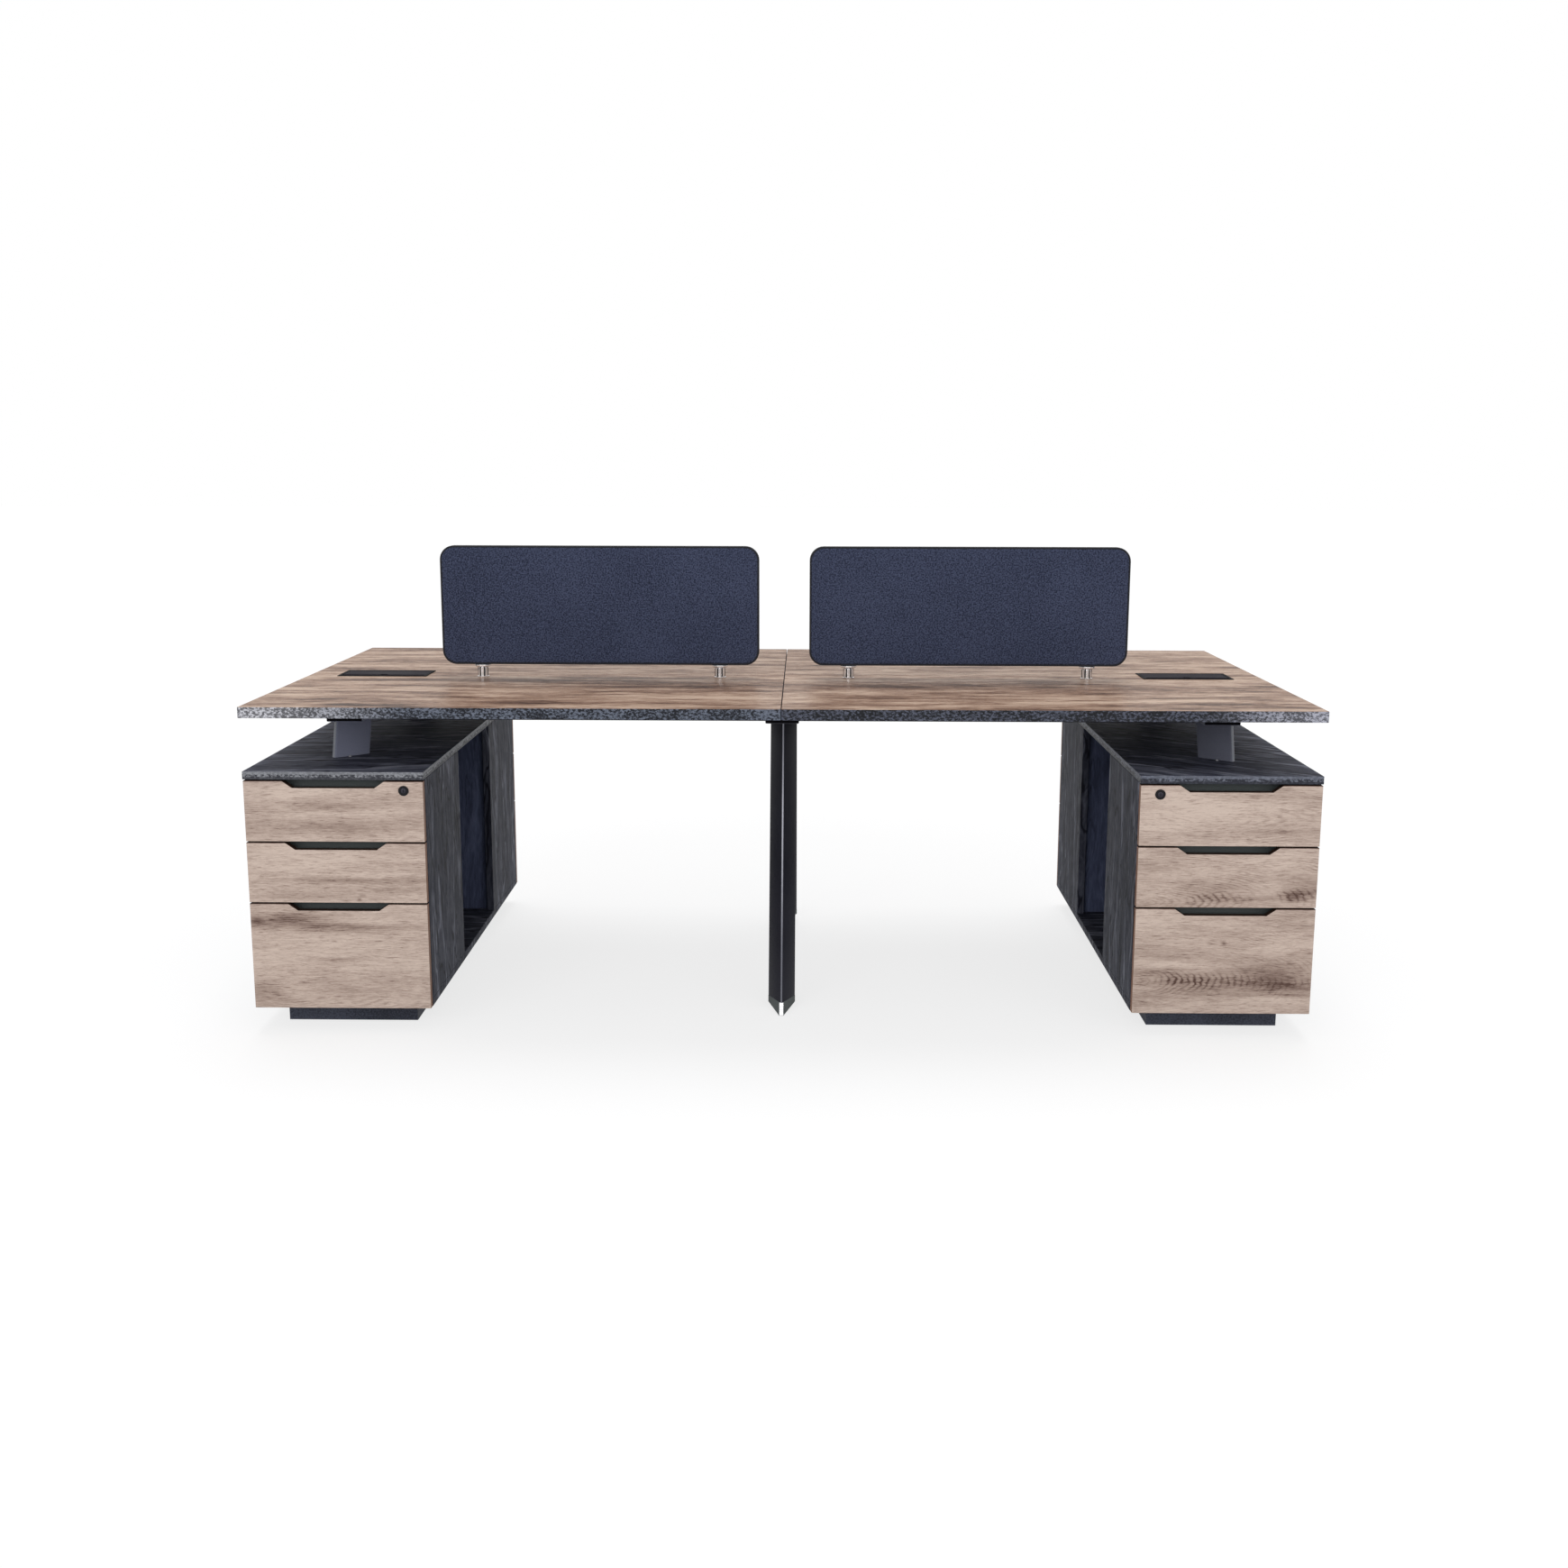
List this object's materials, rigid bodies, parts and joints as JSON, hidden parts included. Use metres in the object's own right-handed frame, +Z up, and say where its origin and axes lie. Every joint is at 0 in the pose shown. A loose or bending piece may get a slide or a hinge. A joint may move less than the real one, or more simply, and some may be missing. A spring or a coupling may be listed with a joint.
{
  "type": "back-to-back office workstation",
  "caption": "Shared desk for users facing each other: desktops on drawer cabinets and a centre leg frame, with fabric screens and lidded cable ports.",
  "frame": {"origin": "centre of the footprint, on the floor", "axes": "+X along the workstation's length, +Y from the front user to the rear user, +Z up"},
  "size_m": [2.4, 1.2, 1.077],
  "materials": {
    "oak_top": "satin wood-effect laminate",
    "drawer_oak": "satin wood-effect laminate",
    "dark_wood": "satin dark wood-effect laminate",
    "screen_fabric": "heather weave",
    "dark_steel": "fine powder coat",
    "grey_steel": "fine powder coat",
    "drawer_steel": "powder coat",
    "lock_steel": "black nickel",
    "chrome": "polished",
    "black_plastic": "fine texture",
    "foot_plastic": "satin"
  },
  "bodies": {
    "carcass": {"cable_box_left": "black_plastic", "cabinet_top_left": "dark_wood", "cabinet_base_left": "dark_wood", "outer_side_left": "dark_wood", "screen_left": "screen_fabric", "screen_post_left_outer": "chrome", "screen_post_left_inner": "chrome", "desktop_front_left": "oak_top", "inner_side_front_left": "dark_wood", "riser_front_left": "grey_steel", "desktop_rear_left": "oak_top", "inner_side_rear_left": "dark_wood", "riser_rear_left": "grey_steel", "cable_box_right": "black_plastic", "cabinet_top_right": "dark_wood", "cabinet_base_right": "dark_wood", "outer_side_right": "dark_wood", "screen_right": "screen_fabric", "screen_post_right_outer": "chrome", "screen_post_right_inner": "chrome", "desktop_front_right": "oak_top", "inner_side_front_right": "dark_wood", "riser_front_right": "grey_steel", "desktop_rear_right": "oak_top", "inner_side_rear_right": "dark_wood", "riser_rear_right": "grey_steel", "centre_frame": "dark_steel", "foot_cap_front": "foot_plastic", "foot_cap_rear": "foot_plastic", "cable_tray": "dark_steel"},
    "lid_left": {"cable_lid_left": "black_plastic"},
    "lid_right": {"cable_lid_right": "black_plastic"},
    "drawer_front_left_upper": {"drawer_facia_front_left_upper": "drawer_oak", "drawer_tub_front_left_upper": "drawer_steel"},
    "drawer_front_left_middle": {"drawer_facia_front_left_middle": "drawer_oak", "drawer_tub_front_left_middle": "drawer_steel"},
    "drawer_front_left_lower": {"drawer_facia_front_left_lower": "drawer_oak", "drawer_tub_front_left_lower": "drawer_steel"},
    "lock_front_left": {"drawer_lock_front_left": "lock_steel"},
    "drawer_front_right_upper": {"drawer_facia_front_right_upper": "drawer_oak", "drawer_tub_front_right_upper": "drawer_steel"},
    "drawer_front_right_middle": {"drawer_facia_front_right_middle": "drawer_oak", "drawer_tub_front_right_middle": "drawer_steel"},
    "drawer_front_right_lower": {"drawer_facia_front_right_lower": "drawer_oak", "drawer_tub_front_right_lower": "drawer_steel"},
    "lock_front_right": {"drawer_lock_front_right": "lock_steel"},
    "drawer_rear_left_upper": {"drawer_facia_rear_left_upper": "drawer_oak", "drawer_tub_rear_left_upper": "drawer_steel"},
    "drawer_rear_left_middle": {"drawer_facia_rear_left_middle": "drawer_oak", "drawer_tub_rear_left_middle": "drawer_steel"},
    "drawer_rear_left_lower": {"drawer_facia_rear_left_lower": "drawer_oak", "drawer_tub_rear_left_lower": "drawer_steel"},
    "lock_rear_left": {"drawer_lock_rear_left": "lock_steel"},
    "drawer_rear_right_upper": {"drawer_facia_rear_right_upper": "drawer_oak", "drawer_tub_rear_right_upper": "drawer_steel"},
    "drawer_rear_right_middle": {"drawer_facia_rear_right_middle": "drawer_oak", "drawer_tub_rear_right_middle": "drawer_steel"},
    "drawer_rear_right_lower": {"drawer_facia_rear_right_lower": "drawer_oak", "drawer_tub_rear_right_lower": "drawer_steel"},
    "lock_rear_right": {"drawer_lock_rear_right": "lock_steel"}
  },
  "joints": [
    {"name": "lid_left_hinge", "type": "hinge", "parent": "carcass", "child": "lid_left", "pos_m": [-1.012, 0.0455, 0.7488], "axis": [-1, 0, 0], "range_deg": [0, 95]},
    {"name": "lid_right_hinge", "type": "hinge", "parent": "carcass", "child": "lid_right", "pos_m": [1.012, 0.0455, 0.7488], "axis": [-1, 0, 0], "range_deg": [0, 95]},
    {"name": "slide_front_left_upper", "type": "slide", "parent": "carcass", "child": "drawer_front_left_upper", "axis": [0, -1, 0], "range_m": [0, 0.25]},
    {"name": "slide_front_left_middle", "type": "slide", "parent": "carcass", "child": "drawer_front_left_middle", "axis": [0, -1, 0], "range_m": [0, 0.25]},
    {"name": "slide_front_left_lower", "type": "slide", "parent": "carcass", "child": "drawer_front_left_lower", "axis": [0, -1, 0], "range_m": [0, 0.25]},
    {"name": "lock_front_left_turn", "type": "hinge", "parent": "drawer_front_left_upper", "child": "lock_front_left", "pos_m": [-0.8405, -0.592, 0.562], "axis": [0, 1, 0], "range_deg": [0, 90]},
    {"name": "slide_front_right_upper", "type": "slide", "parent": "carcass", "child": "drawer_front_right_upper", "axis": [0, -1, 0], "range_m": [0, 0.25]},
    {"name": "slide_front_right_middle", "type": "slide", "parent": "carcass", "child": "drawer_front_right_middle", "axis": [0, -1, 0], "range_m": [0, 0.25]},
    {"name": "slide_front_right_lower", "type": "slide", "parent": "carcass", "child": "drawer_front_right_lower", "axis": [0, -1, 0], "range_m": [0, 0.25]},
    {"name": "lock_front_right_turn", "type": "hinge", "parent": "drawer_front_right_upper", "child": "lock_front_right", "pos_m": [0.8405, -0.592, 0.562], "axis": [0, -1, 0], "range_deg": [0, 90]},
    {"name": "slide_rear_left_upper", "type": "slide", "parent": "carcass", "child": "drawer_rear_left_upper", "axis": [0, 1, 0], "range_m": [0, 0.25]},
    {"name": "slide_rear_left_middle", "type": "slide", "parent": "carcass", "child": "drawer_rear_left_middle", "axis": [0, 1, 0], "range_m": [0, 0.25]},
    {"name": "slide_rear_left_lower", "type": "slide", "parent": "carcass", "child": "drawer_rear_left_lower", "axis": [0, 1, 0], "range_m": [0, 0.25]},
    {"name": "lock_rear_left_turn", "type": "hinge", "parent": "drawer_rear_left_upper", "child": "lock_rear_left", "pos_m": [-0.8405, 0.592, 0.562], "axis": [0, 1, 0], "range_deg": [0, 90]},
    {"name": "slide_rear_right_upper", "type": "slide", "parent": "carcass", "child": "drawer_rear_right_upper", "axis": [0, 1, 0], "range_m": [0, 0.25]},
    {"name": "slide_rear_right_middle", "type": "slide", "parent": "carcass", "child": "drawer_rear_right_middle", "axis": [0, 1, 0], "range_m": [0, 0.25]},
    {"name": "slide_rear_right_lower", "type": "slide", "parent": "carcass", "child": "drawer_rear_right_lower", "axis": [0, 1, 0], "range_m": [0, 0.25]},
    {"name": "lock_rear_right_turn", "type": "hinge", "parent": "drawer_rear_right_upper", "child": "lock_rear_right", "pos_m": [0.8405, 0.592, 0.562], "axis": [0, -1, 0], "range_deg": [0, 90]}
  ]
}
